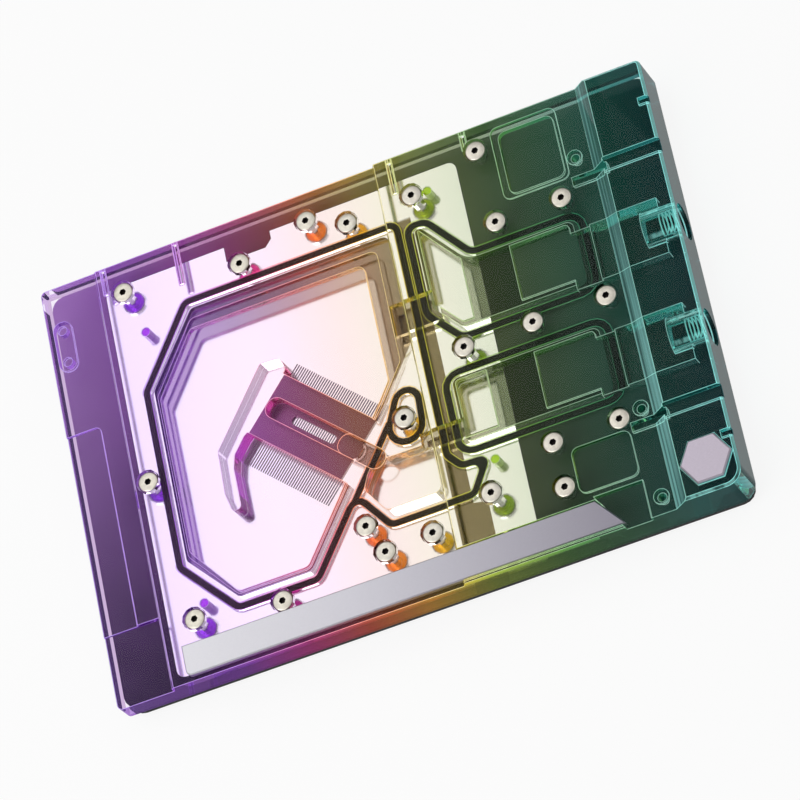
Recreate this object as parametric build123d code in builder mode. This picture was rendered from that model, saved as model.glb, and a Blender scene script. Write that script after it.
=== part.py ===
"""Full-cover water block for a graphics card.

A clear machined cover stands on a nickel-plated cold plate and on the dark rear frame around that plate.
Plan positions are measured from the cover's lower left corner, and heights from the feet of the standoffs.
"""
from build123d import *
import cmath
import math
import os

os.makedirs("parts", exist_ok=True)

# Cover, in plan. Positions in the plan are given for the drawn size and move with the cover's own size.
cover_length = 230.0
cover_width = 162.0
drawn_length = 230.0
drawn_width = 162.0
corner_radius = 2.0
lower_right_radius = 6.0
edge_chamfer = 0.9
tail_step = 0.8

# Heights
standoff_height = 3.0
pad_height = 1.0
plate_thickness = 4.0
main_thickness = 10.0
middle_rise = 2.0
terminal_rise = 4.5
plate_bottom = standoff_height
plate_top = plate_bottom + plate_thickness
main_top = plate_top + main_thickness
middle_top = main_top + middle_rise
terminal_top = middle_top + terminal_rise
tail_top = main_top - tail_step


def across(x):
    """Plan position along the length, moved with the cover's length."""
    return x * cover_length / drawn_length


def up(y):
    """Plan position across the width, moved with the cover's width."""
    return y * cover_width / drawn_width


def placed(points):
    """Plan positions, moved with the cover's length and width."""
    return [(across(x), up(y)) for x, y in points]


# Places of the cover's steps
tail_length = across(21.0)
step_x = across(128.5)
terminal_x = across(205.0)
bay_left = across(210.0)

# Fits, and how finely small round shapes are cut
fit_gap = 0.15
thread_gap = 0.05
small_sides = 8
head_sides = 12
corner_steps = 4

# Cold plate and rear frame
plate_left = across(22.0)
plate_right = across(156.2)
plate_low = up(5.5)
plate_high = up(156.4)
plate_radius = 3.0
notch_left = across(68.0)
notch_right = across(85.6)
notch_depth = 5.7
notch_bevel = 2.6
frame_inset = 1.2
back_relief = 0.4
back_margin = 6.0
die_pad_size = 46.0
back_pockets = ((88.0, 142.0), (20.0, 74.0))
memory_pads = (
    ((34.0, 52.0), (46.0, 102.0)),
    ((58.0, 118.0), (108.0, 130.0)),
    ((58.0, 25.0), (108.0, 37.0)),
    ((130.0, 50.0), (138.0, 106.0)),
)

# Fin field and jet plate, turned to the cover's edges
die_x = across(86.3)
die_y = up(77.9)
die_turn = -45.0
fin_pitch = 0.96
fin_count = 42
fin_slot_width = 0.5
fin_length = 38.8
fin_shift = -1.5
fin_depth = 2.4
jet_length = fin_pitch * fin_count
jet_width = 23.8
jet_thickness = 0.8
jet_slot_length = 19.0
jet_slot_width = 3.2
land_end = 7.0
feed_length = 40.0
feed_width = 7.4
feed_shift = 2.0
feed_crossing_start = 14.0
feed_crossing_end = 33.0
side_land = (
    (82.5, 101.0),
    (81.0, 106.0),
    (73.6, 106.4),
    (52.6, 79.8),
    (52.2, 63.6),
    (53.8, 56.0),
    (57.2, 56.6),
    (57.2, 71.5),
    (58.4, 76.5),
    (63.0, 82.0),
    (66.0, 84.0),
)
land_radius = 1.6

# Seals
seal_width = 2.2
seal_height = 1.7
seal_gap = 0.1
seal_corner = 3.4
main_seal = (
    (30.4, 44.2),
    (48.3, 22.9),
    (78.0, 22.9),
    (96.7, 47.8),
    (107.0, 32.9),
    (137.6, 32.9),
    (144.6, 44.4),
    (135.5, 44.6),
    (131.2, 50.0),
    (131.2, 140.8),
    (50.4, 140.8),
    (30.4, 112.5),
)
partition = ((95.9, 45.6), (113.6, 69.2))
island_x = across(120.4)
island_y = up(67.0)
island_low = (-1.2, -0.6)
island_high = (0.8, 7.6)
island_low_radius = 6.0
island_high_radius = 4.4

# Water chambers: outlines from the mouth at the plate to the ceiling, with the height of each
outlet_mouth = (
    (33.4, 45.6),
    (49.6, 26.2),
    (76.6, 26.2),
    (94.2, 49.5),
    (110.0, 71.5),
    (114.0, 76.5),
    (127.4, 95.5),
    (127.4, 137.6),
    (52.2, 137.6),
    (33.4, 111.6),
)
outlet_terrace = (
    (34.8, 46.4),
    (50.0, 26.8),
    (76.4, 26.8),
    (93.8, 49.9),
    (109.6, 71.9),
    (113.4, 76.7),
    (122.4, 89.5),
    (122.4, 133.0),
    (51.9, 133.0),
    (34.8, 108.5),
)
outlet_deep = (
    (36.0, 47.2),
    (50.4, 27.4),
    (76.2, 27.4),
    (93.4, 50.3),
    (109.2, 72.3),
    (112.8, 77.1),
    (117.2, 83.4),
    (117.2, 128.6),
    (51.4, 128.6),
    (36.0, 106.5),
)
inlet_chamber = (
    (101.0, 47.2),
    (107.4, 37.4),
    (127.6, 37.4),
    (127.6, 55.8),
    (111.0, 55.8),
    (107.4, 57.6),
    (103.2, 52.0),
)
mouth_height = 2.2
terrace_height = 4.0
chamber_height = 6.0
chamber_radius = 2.6
crossing_low = 3.2
crossing_height = 3.0
upper_crossing = ((123.0, 98.0), (141.0, 110.0))
lower_crossing = ((124.0, 53.0), (142.0, 60.0))

# The two channels that lead to the ports
upper_seal = (
    (134.6, 103.6),
    (145.6, 90.2),
    (195.2, 90.2),
    (195.2, 119.8),
    (155.1, 119.8),
    (141.5, 137.4),
    (134.6, 137.4),
)
lower_seal = ((136.0, 48.6), (195.4, 48.6), (195.4, 78.4), (136.0, 78.4))
channel_corner = 5.4
channel_inset = 3.0
channel_step = 1.4
channel_low_height = 4.4
channel_height = 6.2
channel_deep_left = across(151.5)
channel_deep_right = across(169.4)
port_radius = 6.579
port_depth = 13.0
port_height = 8.2
upper_port_y = up(101.2)
lower_port_y = up(60.6)
port_bay_width = 21.0
port_bay_left = across(198.5)
port_bay_right = across(223.0)
port_bay_floor = 1.5
port_crossing_left = across(189.0)

# Cover screws
screw_radius = 2.0
head_radius = 3.8
head_height = 2.2
head_shoulder = 1.2
head_taper = 40.0
socket_radius = 1.45
socket_depth = 1.3
head_recess = 2.7
recess_gap = 0.45
thread_depth = 3.4
screws = (
    (30.3, 150.8),
    (74.2, 145.4),
    (100.8, 152.1),
    (115.1, 145.6),
    (140.3, 145.8),
    (165.8, 153.4),
    (167.2, 124.6),
    (191.4, 124.6),
    (146.8, 83.6),
    (172.0, 83.6),
    (198.6, 83.6),
    (26.4, 77.2),
    (193.2, 38.5),
    (169.4, 38.5),
    (144.9, 28.7),
    (99.4, 33.5),
    (33.6, 22.1),
    (65.5, 17.6),
    (104.3, 22.1),
    (121.7, 22.9),
    (169.9, 21.6),
)

# Empty holes in the raised part of the cover
clear_holes = ((199.3, 137.1), (201.2, 39.4), (201.0, 6.4))
clear_hole_radius = 1.5
clear_hole_depth = 6.0
clear_seat_radius = 2.6
clear_seat_depth = 1.2

# Trim strip with the light board beneath it
trim_left = across(28.0)
trim_right = across(187.5)
trim_low = up(1.6)
trim_high = up(12.9)
trim_thickness = middle_rise
trim_slant = 8.6
trim_corner = 2.0
trim_chamfer = 0.4
corner_panel_right = across(196.0)
corner_panel_high = up(14.2)
board_margin = 4.0
board_width = 6.0
board_gap = 1.0
board_thickness = 1.2
light_groove_depth = 4.0
chip_count = 12
chip_size = 5.0
chip_height = 1.5

# Front pockets in the raised middle section: corners, depth
front_pockets = (
    ((172.4, 130.6), (196.2, 158.6), 1.0),
    ((174.6, 132.6), (194.6, 156.6), 3.0),
    ((174.8, 16.8), (195.6, 33.4), 1.8),
)
pocket_corner = 2.5

# Tail: a shallow relief, a lower foot, and a round-ended window with two bosses
tail_relief = 1.0
relief_right = across(12.8)
relief_high = up(104.0)
foot_high = up(27.0)
foot_drop = 1.8
window_x = across(5.6)
window_y = up(138.6)
window_length = 19.0
window_width = 6.6
window_depth = 2.4
boss_radius = 1.9
boss_spacing = 12.4

# Bars milled across the step to the terminal, the grooves that go on from them, and the tabs on the right edge
bars = (128.2, 33.6)
bar_left = across(196.8)
bar_width = 3.2
bar_depth = 2.5
groove_width = 5.0
groove_depth = 2.2
tabs = (146.2, 18.4)
tab_length = 3.6
tab_width = 2.4
tab_depth = 2.0

# Blind holes drilled from the upper edge: place along it, depth
edge_holes = ((23.8, 9.3), (51.9, 15.7), (134.2, 12.0), (161.8, 5.5))
edge_hole_radius = 1.0
edge_hole_height = 6.6

# Badge
badge_x = across(219.6)
badge_y = up(11.6)
badge_radius = 9.0
badge_thickness = 1.6
badge_seat = 0.6
badge_chamfer = 0.5

# Locating pins
pin_radius = 1.5
pin_height = 9.0
pin_sunk = 2.5
pins = ((35.4, 133.5), (37.6, 27.2), (145.4, 146.6), (148.1, 41.2))

# Standoffs for the circuit board
standoff_radius = 3.1
standoff_bore = 1.25
spigot_radius = 2.0
spigot_height = 1.6
board_hole_spacing = 58.4
outer_standoffs = ((30.0, 36.0), (30.0, 143.4), (104.0, 12.0), (146.0, 112.0))


def level(height):
    """Plan plane at a height, with its origin at the cover's lower left corner."""
    return Plane(origin=(-cover_length / 2, -cover_width / 2, height))


def port_plane(y):
    """Plane in the right-hand edge of the cover, looking out of it, centred on a port."""
    return Plane(origin=(cover_length / 2, y - cover_width / 2, plate_top + port_height), z_dir=(1, 0, 0))


def shifted(corners, grow):
    """Corners of a polygon with each of its sides moved outwards; the corners run anticlockwise."""
    spots = [complex(x, y) for x, y in corners]
    moved = []
    for number, spot in enumerate(spots):
        arrive = spot - spots[number - 1]
        leave = spots[(number + 1) % len(spots)] - spot
        arrive /= abs(arrive)
        leave /= abs(leave)
        spot -= 1j * grow * (arrive + leave) / (1 + (arrive * leave.conjugate()).real)
        moved.append((spot.real, spot.imag))
    return moved


def rounded(corners, radius, grow=0.0):
    """Face inside a polygon with softened corners, after its sides have moved outwards."""
    spots = [complex(x, y) for x, y in shifted(corners, grow)]
    path = []
    for number, spot in enumerate(spots):
        arrive = spot - spots[number - 1]
        leave = spots[(number + 1) % len(spots)] - spot
        turn = cmath.phase(leave / arrive)
        reach = max(radius + math.copysign(grow, turn * grow), radius / corner_steps) * abs(math.tan(turn / 2))
        reach = min(reach, abs(arrive) * 0.45, abs(leave) * 0.45)
        start = spot - arrive / abs(arrive) * reach
        hub = start + 1j * arrive / abs(arrive) * reach / math.tan(turn / 2)
        for step in range(corner_steps + 1):
            point = hub + (start - hub) * cmath.exp(1j * turn * step / corner_steps)
            path.append((point.real, point.imag))
    return Polygon(*path, align=None, mode=Mode.PRIVATE)


def band(corners, radius, width):
    """Band of one width that follows a polygon with softened corners."""
    return rounded(corners, radius, width / 2) - rounded(corners, radius, -width / 2)


def rectangle_corners(low_left, high_right):
    """Corners of an upright rectangle."""
    (left, low), (right, high) = low_left, high_right
    return (left, low), (right, low), (right, high), (left, high)


def island(grow):
    """Teardrop round the screw that stands between the two chambers."""
    circles = []
    for (shift_x, shift_y), radius in ((island_low, island_low_radius), (island_high, island_high_radius)):
        spot = Pos(island_x + shift_x, island_y + shift_y)
        circles += (spot * RegularPolygon(radius + grow, 4 * corner_steps, mode=Mode.PRIVATE)).edges()
    return make_hull(circles, mode=Mode.PRIVATE)


def turned(along, across_it):
    """Place in the plan, measured along and across the fin field from its centre."""
    return Pos(die_x, die_y) * Rot(0, 0, die_turn) * Pos(along, across_it)


def turned_slot(length, width, along=0.0):
    """Softened slot along the fin field's long side, moved from its centre."""
    corners = rectangle_corners((-length / 2, -width / 2), (length / 2, width / 2))
    return turned(along, 0) * rounded(corners, width / 2)


def turned_rectangle(length, width, along=0.0, across_it=0.0):
    """Rectangle along the fin field's long side, moved from its centre."""
    return turned(along, across_it) * Rectangle(length, width, mode=Mode.PRIVATE)


def trim_face(grow):
    """Face of the trim strip, with its slanted right end."""
    corners = (
        (trim_left, trim_low),
        (trim_right, trim_low),
        (trim_right - trim_slant, trim_high),
        (trim_left, trim_high),
    )
    return Polygon(*shifted(corners, grow), align=None, mode=Mode.PRIVATE)


def plate_outline(grow):
    """Outline of the cold plate, with the notch in its upper edge."""
    with BuildSketch(mode=Mode.PRIVATE) as outline:
        add(rounded(rectangle_corners((plate_left, plate_low), (plate_right, plate_high)), plate_radius, grow))
        notch = (
            (notch_left, plate_high - notch_depth),
            (notch_right - notch_bevel, plate_high - notch_depth),
            (notch_right, plate_high - notch_depth + notch_bevel),
            (notch_right, plate_high + 1),
            (notch_left, plate_high + 1),
        )
        add(Polygon(*shifted(notch, -grow), align=None, mode=Mode.PRIVATE), mode=Mode.SUBTRACT)
    return outline.sketch


def screws_between(left, right):
    """Plan positions of the screws in one stretch of the cover's length."""
    return [(x, y) for x, y in placed(screws) + [(island_x, island_y)] if left < x < right]


main_screws = screws_between(0, step_x)
middle_screws = screws_between(step_x, terminal_x)
plate_screws = screws_between(0, plate_right)
frame_screws = screws_between(plate_right, terminal_x)
pin_points = placed(pins)
channels = ((placed(upper_seal), upper_port_y), (placed(lower_seal), lower_port_y))


def main_seal_face(extra):
    """Outer loop, partition bar and island loop of the large seal, as one face."""
    width = seal_width + 2 * extra
    with BuildSketch(mode=Mode.PRIVATE) as face:
        with BuildLine():
            bar = Line(*placed(partition))
        trace(bar, line_width=width)
        add(island(width / 2))
        add(island(-width / 2), mode=Mode.SUBTRACT)
        add(band(placed(main_seal), seal_corner, width))
    return face.sketch


half_spacing = board_hole_spacing / 2
board_standoff_points = [(die_x + i * half_spacing, die_y + j * half_spacing) for i in (-1, 1) for j in (-1, 1)]
standoff_points = board_standoff_points + placed(outer_standoffs)
board_y = (trim_low + trim_high) / 2
board_left = trim_left + board_margin
board_right = trim_right - trim_slant - board_margin

# Clear cover, milled from one block: side profile first, then the corners
with BuildPart() as acrylic_top:
    side = Plane(origin=(-cover_length / 2, -cover_width / 2, 0), z_dir=(0, -1, 0), x_dir=(1, 0, 0))
    with BuildSketch(side):
        with BuildLine():
            Polyline(
                (0, plate_top),
                (cover_length, plate_top),
                (cover_length, terminal_top),
                (bay_left, terminal_top),
                (terminal_x, middle_top),
                (step_x + middle_rise / 2, middle_top),
                (step_x, main_top),
                (tail_length + tail_step, main_top),
                (tail_length, tail_top),
                (0, tail_top),
                close=True,
            )
        make_face()
    extrude(amount=-cover_width)
    uprights = acrylic_top.edges().filter_by(Axis.Z)
    lower_right = uprights.group_by(Axis.X)[-1].sort_by(Axis.Y)[0]
    fillet([edge for edge in uprights if edge != lower_right], radius=corner_radius)
    fillet(acrylic_top.edges().filter_by(Axis.Z).group_by(Axis.X)[-1].sort_by(Axis.Y)[0], radius=lower_right_radius)
    rim = acrylic_top.faces().sort_by(Axis.Z)[-1].edges().sort_by(Axis.X)[1:]
    chamfer(rim, length=edge_chamfer)
    # Outlet chamber in three steps, and the land that presses on the jet plate
    for outline, height in (
        (outlet_mouth, mouth_height),
        (outlet_terrace, terrace_height),
        (outlet_deep, chamber_height),
    ):
        with BuildSketch(level(plate_top)):
            add(rounded(placed(outline), chamber_radius))
        extrude(amount=height, mode=Mode.SUBTRACT)
    with BuildSketch(level(plate_top)):
        add(rounded(placed(side_land), land_radius))
        add(turned_rectangle(jet_length + land_end, jet_width, along=land_end / 2))
    extrude(amount=chamber_height)
    with BuildSketch(level(plate_top)):
        add(turned_rectangle(jet_length + 2 * fit_gap, jet_width + 2 * fit_gap))
    extrude(amount=jet_thickness, mode=Mode.SUBTRACT)
    # Inlet chamber, the slot that feeds the jet plate and the way between them over the seal
    with BuildSketch(level(plate_top)):
        add(rounded(placed(inlet_chamber), chamber_radius))
    extrude(amount=chamber_height, mode=Mode.SUBTRACT)
    with BuildSketch(level(plate_top + jet_thickness)):
        add(turned_slot(feed_length, feed_width, along=feed_shift))
    extrude(amount=chamber_height - jet_thickness, mode=Mode.SUBTRACT)
    with BuildSketch(level(plate_top + crossing_low)):
        add(
            turned_slot(
                feed_crossing_end - feed_crossing_start,
                feed_width,
                along=(feed_crossing_end + feed_crossing_start) / 2,
            )
        )
        for low_left, high_right in (upper_crossing, lower_crossing):
            add(Polygon(*placed(rectangle_corners(low_left, high_right)), align=None, mode=Mode.PRIVATE))
        for y in (upper_port_y, lower_port_y):
            with Locations(((port_crossing_left + port_bay_left + 1) / 2, y)):
                Rectangle(port_bay_left + 1 - port_crossing_left, port_bay_width)
    extrude(amount=crossing_height, mode=Mode.SUBTRACT)
    # Port channels, deeper at both ends, then the bays and the threaded ports
    for corners, y in channels:
        with BuildSketch(level(plate_top)):
            add(rounded(corners, channel_corner, -channel_inset))
        extrude(amount=channel_low_height, mode=Mode.SUBTRACT)
        for left, right in ((0, channel_deep_left), (channel_deep_right, cover_length)):
            with BuildSketch(level(plate_top)):
                add(rounded(corners, channel_corner, -channel_inset - channel_step))
                stretch = rectangle_corners((left, 0), (right, cover_width))
                add(Polygon(*stretch, align=None, mode=Mode.PRIVATE), mode=Mode.INTERSECT)
            extrude(amount=channel_height, mode=Mode.SUBTRACT)
        with BuildSketch(level(plate_top + port_bay_floor)):
            with Locations(((port_bay_left + port_bay_right) / 2, y)):
                Rectangle(port_bay_right - port_bay_left, port_bay_width)
        extrude(amount=port_height - port_bay_floor, mode=Mode.SUBTRACT)
        with BuildSketch(port_plane(y)):
            Circle(port_radius)
        extrude(amount=-port_depth, mode=Mode.SUBTRACT)
    # Seal grooves
    with BuildSketch(level(plate_top)):
        add(main_seal_face(seal_gap))
        for corners, _ in channels:
            add(band(corners, channel_corner, seal_width + 2 * seal_gap))
    extrude(amount=seal_height + seal_gap, mode=Mode.SUBTRACT)
    # Screw holes and head recesses
    for points, top in ((main_screws, main_top), (middle_screws, middle_top)):
        with BuildSketch(level(plate_top)):
            with Locations(*points):
                RegularPolygon(screw_radius + fit_gap, small_sides)
        extrude(amount=top - plate_top, mode=Mode.SUBTRACT)
        with BuildSketch(level(top - head_recess)):
            with Locations(*points):
                RegularPolygon(head_radius + recess_gap, head_sides)
        extrude(amount=head_recess + middle_rise, mode=Mode.SUBTRACT)
    # Empty holes, and blind holes for the locating pins
    for radius, depth in ((clear_seat_radius, clear_seat_depth), (clear_hole_radius, clear_hole_depth)):
        with BuildSketch(level(middle_top)):
            with Locations(*placed(clear_holes)):
                RegularPolygon(radius, head_sides)
        extrude(amount=-depth, mode=Mode.SUBTRACT)
    with BuildSketch(level(plate_top)):
        with Locations(*pin_points):
            RegularPolygon(pin_radius + fit_gap, small_sides)
    extrude(amount=pin_height - pin_sunk + fit_gap, mode=Mode.SUBTRACT)
    # Seat of the trim strip with the panel beside it, and the groove for the light board
    with BuildSketch(level(main_top)):
        add(trim_face(fit_gap))
        panel = (
            (trim_right, -1),
            (corner_panel_right, -1),
            (corner_panel_right, corner_panel_high),
            (trim_right - trim_slant, corner_panel_high),
        )
        add(Polygon(*panel, align=None, mode=Mode.PRIVATE))
    extrude(amount=middle_rise + 1, mode=Mode.SUBTRACT)
    with BuildSketch(level(main_top - light_groove_depth)):
        with Locations(((board_left + board_right) / 2, board_y)):
            Rectangle(board_right - board_left + 2 * board_gap, board_width + 2 * board_gap)
    extrude(amount=light_groove_depth, mode=Mode.SUBTRACT)
    # Front pockets of the raised middle section and of the tail
    for low_left, high_right, depth in front_pockets:
        with BuildSketch(level(middle_top - depth)):
            add(rounded(placed(rectangle_corners(low_left, high_right)), pocket_corner))
        extrude(amount=depth, mode=Mode.SUBTRACT)
    with BuildSketch(level(tail_top - tail_relief)):
        tail_pocket = rectangle_corners((-corner_radius, foot_high - corner_radius), (relief_right, relief_high))
        add(rounded(tail_pocket, corner_radius))
    extrude(amount=2 * tail_relief, mode=Mode.SUBTRACT)
    with BuildSketch(level(tail_top - foot_drop)):
        add(Polygon(*rectangle_corners((-1, -1), (tail_length, foot_high)), align=None, mode=Mode.PRIVATE))
    extrude(amount=foot_drop + tail_step, mode=Mode.SUBTRACT)
    with BuildSketch(level(tail_top - window_depth)):
        half_width, half_length = window_width / 2, window_length / 2
        window = rectangle_corners(
            (window_x - half_width, window_y - half_length),
            (window_x + half_width, window_y + half_length),
        )
        add(rounded(window, half_width))
        with Locations((window_x, window_y - boss_spacing / 2), (window_x, window_y + boss_spacing / 2)):
            RegularPolygon(boss_radius, head_sides, mode=Mode.SUBTRACT)
    extrude(amount=window_depth, mode=Mode.SUBTRACT)
    # Terminal: bars over the step, grooves, tabs, and the seat of the badge
    for y in bars:
        with BuildSketch(level(middle_top - bar_depth)):
            with Locations(((bar_left + bay_left) / 2, up(y))):
                Rectangle(bay_left - bar_left, bar_width)
        extrude(amount=bar_depth + terminal_rise, mode=Mode.SUBTRACT)
        with BuildSketch(level(terminal_top - groove_depth)):
            with Locations(((bay_left + cover_length) / 2, up(y))):
                Rectangle(cover_length - bay_left + 1, groove_width)
        extrude(amount=groove_depth, mode=Mode.SUBTRACT)
    for y in tabs:
        with BuildSketch(level(terminal_top - tab_depth)):
            with Locations((cover_length - tab_length / 2, up(y))):
                Rectangle(tab_length, tab_width)
        extrude(amount=tab_depth, mode=Mode.SUBTRACT)
    with BuildSketch(level(terminal_top - badge_seat)):
        with Locations((badge_x, badge_y)):
            RegularPolygon(badge_radius + fit_gap, 6)
    extrude(amount=badge_seat, mode=Mode.SUBTRACT)
    # Blind holes drilled from the upper edge
    for x, depth in edge_holes:
        mouth = (across(x) - cover_length / 2, cover_width / 2, plate_top + edge_hole_height)
        with BuildSketch(Plane(origin=mouth, z_dir=(0, 1, 0))):
            RegularPolygon(edge_hole_radius, small_sides)
        extrude(amount=-up(depth), mode=Mode.SUBTRACT)
acrylic_top.part.label = "acrylic_top"
export_step(acrylic_top.part, "parts/acrylic_top.step")

# Rear frame: dark plate round the cold plate, which also closes the two port channels
with BuildPart() as rear_frame:
    with BuildSketch(level(plate_bottom)):
        add(rounded(rectangle_corners((0, 0), (cover_length, cover_width)), lower_right_radius, -frame_inset))
        add(plate_outline(fit_gap), mode=Mode.SUBTRACT)
    extrude(amount=plate_thickness)
    with BuildSketch(level(plate_top)):
        with Locations(*frame_screws):
            RegularPolygon(screw_radius + thread_gap, small_sides)
    extrude(amount=-thread_depth - thread_gap, mode=Mode.SUBTRACT)
    with BuildSketch(level(plate_bottom)):
        for low, high in back_pockets:
            pocket = rectangle_corners(
                (plate_right + back_margin, up(low)),
                (terminal_x - back_margin, up(high)),
            )
            add(rounded(pocket, pocket_corner))
    extrude(amount=back_relief, mode=Mode.SUBTRACT)
rear_frame.part.label = "rear_frame"
export_step(rear_frame.part, "parts/rear_frame.step")

# Cold plate: fins cut into the top, contact pads and standoff seats below
with BuildPart() as cold_plate:
    with BuildSketch(level(plate_bottom)):
        add(plate_outline(0))
    extrude(amount=plate_thickness)
    with BuildSketch(level(plate_bottom)):
        add(turned_rectangle(die_pad_size, die_pad_size))
        for low_left, high_right in memory_pads:
            add(Polygon(*placed(rectangle_corners(low_left, high_right)), align=None, mode=Mode.PRIVATE))
    extrude(amount=-pad_height)
    with BuildSketch(level(plate_top)):
        for number in range(fin_count):
            place = (number - (fin_count - 1) / 2) * fin_pitch
            add(turned_rectangle(fin_slot_width, fin_length, along=place, across_it=fin_shift))
    extrude(amount=-fin_depth, mode=Mode.SUBTRACT)
    with BuildSketch(level(plate_top)):
        with Locations(*plate_screws):
            RegularPolygon(screw_radius + thread_gap, small_sides)
    extrude(amount=-thread_depth - thread_gap, mode=Mode.SUBTRACT)
    with BuildSketch(level(plate_top)):
        with Locations(*pin_points):
            RegularPolygon(pin_radius + thread_gap, small_sides)
    extrude(amount=-pin_sunk, mode=Mode.SUBTRACT)
    with BuildSketch(level(plate_bottom)):
        with Locations(*standoff_points):
            RegularPolygon(spigot_radius + thread_gap, small_sides)
    extrude(amount=spigot_height + thread_gap, mode=Mode.SUBTRACT)
cold_plate.part.label = "cold_plate"
export_step(cold_plate.part, "parts/cold_plate.step")

# Jet plate over the middle of the fins
with BuildPart() as jet_plate:
    with BuildSketch(level(plate_top)):
        add(turned_rectangle(jet_length, jet_width))
        add(turned_slot(jet_slot_length, jet_slot_width), mode=Mode.SUBTRACT)
    extrude(amount=jet_thickness)
jet_plate.part.label = "jet_plate"
export_step(jet_plate.part, "parts/jet_plate.step")

# Seals
with BuildPart() as main_gasket:
    with BuildSketch(level(plate_top)):
        add(main_seal_face(0))
    extrude(amount=seal_height)
main_gasket.part.label = "main_gasket"
export_step(main_gasket.part, "parts/main_gasket.step")

with BuildPart() as upper_channel_gasket:
    with BuildSketch(level(plate_top)):
        add(band(placed(upper_seal), channel_corner, seal_width))
    extrude(amount=seal_height)
upper_channel_gasket.part.label = "upper_channel_gasket"
export_step(upper_channel_gasket.part, "parts/upper_channel_gasket.step")

with BuildPart() as lower_channel_gasket:
    with BuildSketch(level(plate_top)):
        add(band(placed(lower_seal), channel_corner, seal_width))
    extrude(amount=seal_height)
lower_channel_gasket.part.label = "lower_channel_gasket"
export_step(lower_channel_gasket.part, "parts/lower_channel_gasket.step")

# Cover screws: button heads with a hexagon socket
with BuildPart() as cover_screws:
    for points, top in ((main_screws, main_top), (middle_screws, middle_top)):
        seat = top - head_recess
        with BuildSketch(level(plate_top - thread_depth)):
            with Locations(*points):
                RegularPolygon(screw_radius, small_sides)
        extrude(amount=seat - plate_top + thread_depth)
        with BuildSketch(level(seat)):
            with Locations(*points):
                RegularPolygon(head_radius, head_sides)
        extrude(amount=head_height - head_shoulder)
        with BuildSketch(level(seat + head_height - head_shoulder)):
            with Locations(*points):
                RegularPolygon(head_radius, head_sides)
        extrude(amount=head_shoulder, taper=head_taper)
        with BuildSketch(level(seat + head_height)):
            with Locations(*points):
                RegularPolygon(socket_radius, 6)
        extrude(amount=-socket_depth, mode=Mode.SUBTRACT)
cover_screws.part.label = "cover_screws"
export_step(cover_screws.part, "parts/cover_screws.step")

# Pins that line the cover up with the cold plate
with BuildPart() as locating_pins:
    with BuildSketch(level(plate_top - pin_sunk)):
        with Locations(*pin_points):
            RegularPolygon(pin_radius, small_sides)
    extrude(amount=pin_height)
locating_pins.part.label = "locating_pins"
export_step(locating_pins.part, "parts/locating_pins.step")

# Standoffs that carry the circuit board
with BuildPart() as board_standoffs:
    with BuildSketch(level(0)):
        with Locations(*standoff_points):
            RegularPolygon(standoff_radius, 6)
    extrude(amount=standoff_height)
    with BuildSketch(level(plate_bottom)):
        with Locations(*standoff_points):
            RegularPolygon(spigot_radius, small_sides)
    extrude(amount=spigot_height)
    with BuildSketch(level(0)):
        with Locations(*board_standoff_points):
            Circle(standoff_bore)
        with Locations(*placed(outer_standoffs)):
            RegularPolygon(standoff_bore, small_sides)
    extrude(amount=standoff_height, mode=Mode.SUBTRACT)
board_standoffs.part.label = "board_standoffs"
export_step(board_standoffs.part, "parts/board_standoffs.step")

# Trim strip
with BuildPart() as trim_strip:
    with BuildSketch(level(main_top)):
        add(trim_face(0))
    extrude(amount=trim_thickness)
    lower_left = trim_strip.edges().filter_by(Axis.Z).group_by(Axis.X)[0].sort_by(Axis.Y)[0]
    fillet(lower_left, radius=trim_corner)
    chamfer(trim_strip.faces().sort_by(Axis.Z)[-1].edges(), length=trim_chamfer)
trim_strip.part.label = "trim_strip"
export_step(trim_strip.part, "parts/trim_strip.step")

# Light board in its groove, with the light chips in a row
with BuildPart() as light_board:
    with BuildSketch(level(main_top - light_groove_depth)):
        with Locations(((board_left + board_right) / 2, board_y)):
            Rectangle(board_right - board_left, board_width)
    extrude(amount=board_thickness)
light_board.part.label = "light_board"
export_step(light_board.part, "parts/light_board.step")

with BuildPart() as light_chips:
    with BuildSketch(level(main_top - light_groove_depth + board_thickness)):
        with Locations(((board_left + board_right) / 2, board_y)):
            with GridLocations((board_right - board_left) / chip_count, 0, chip_count, 1):
                Rectangle(chip_size, chip_size)
    extrude(amount=chip_height)
light_chips.part.label = "light_chips"
export_step(light_chips.part, "parts/light_chips.step")

# Hexagonal badge on the terminal
with BuildPart() as hex_badge:
    with BuildSketch(level(terminal_top - badge_seat)):
        with Locations((badge_x, badge_y)):
            RegularPolygon(badge_radius, 6)
    extrude(amount=badge_thickness)
    chamfer(hex_badge.faces().sort_by(Axis.Z)[-1].edges(), length=badge_chamfer)
hex_badge.part.label = "hex_badge"
export_step(hex_badge.part, "parts/hex_badge.step")
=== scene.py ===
import math

import bmesh
import bpy
from mathutils import Matrix, Vector


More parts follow.
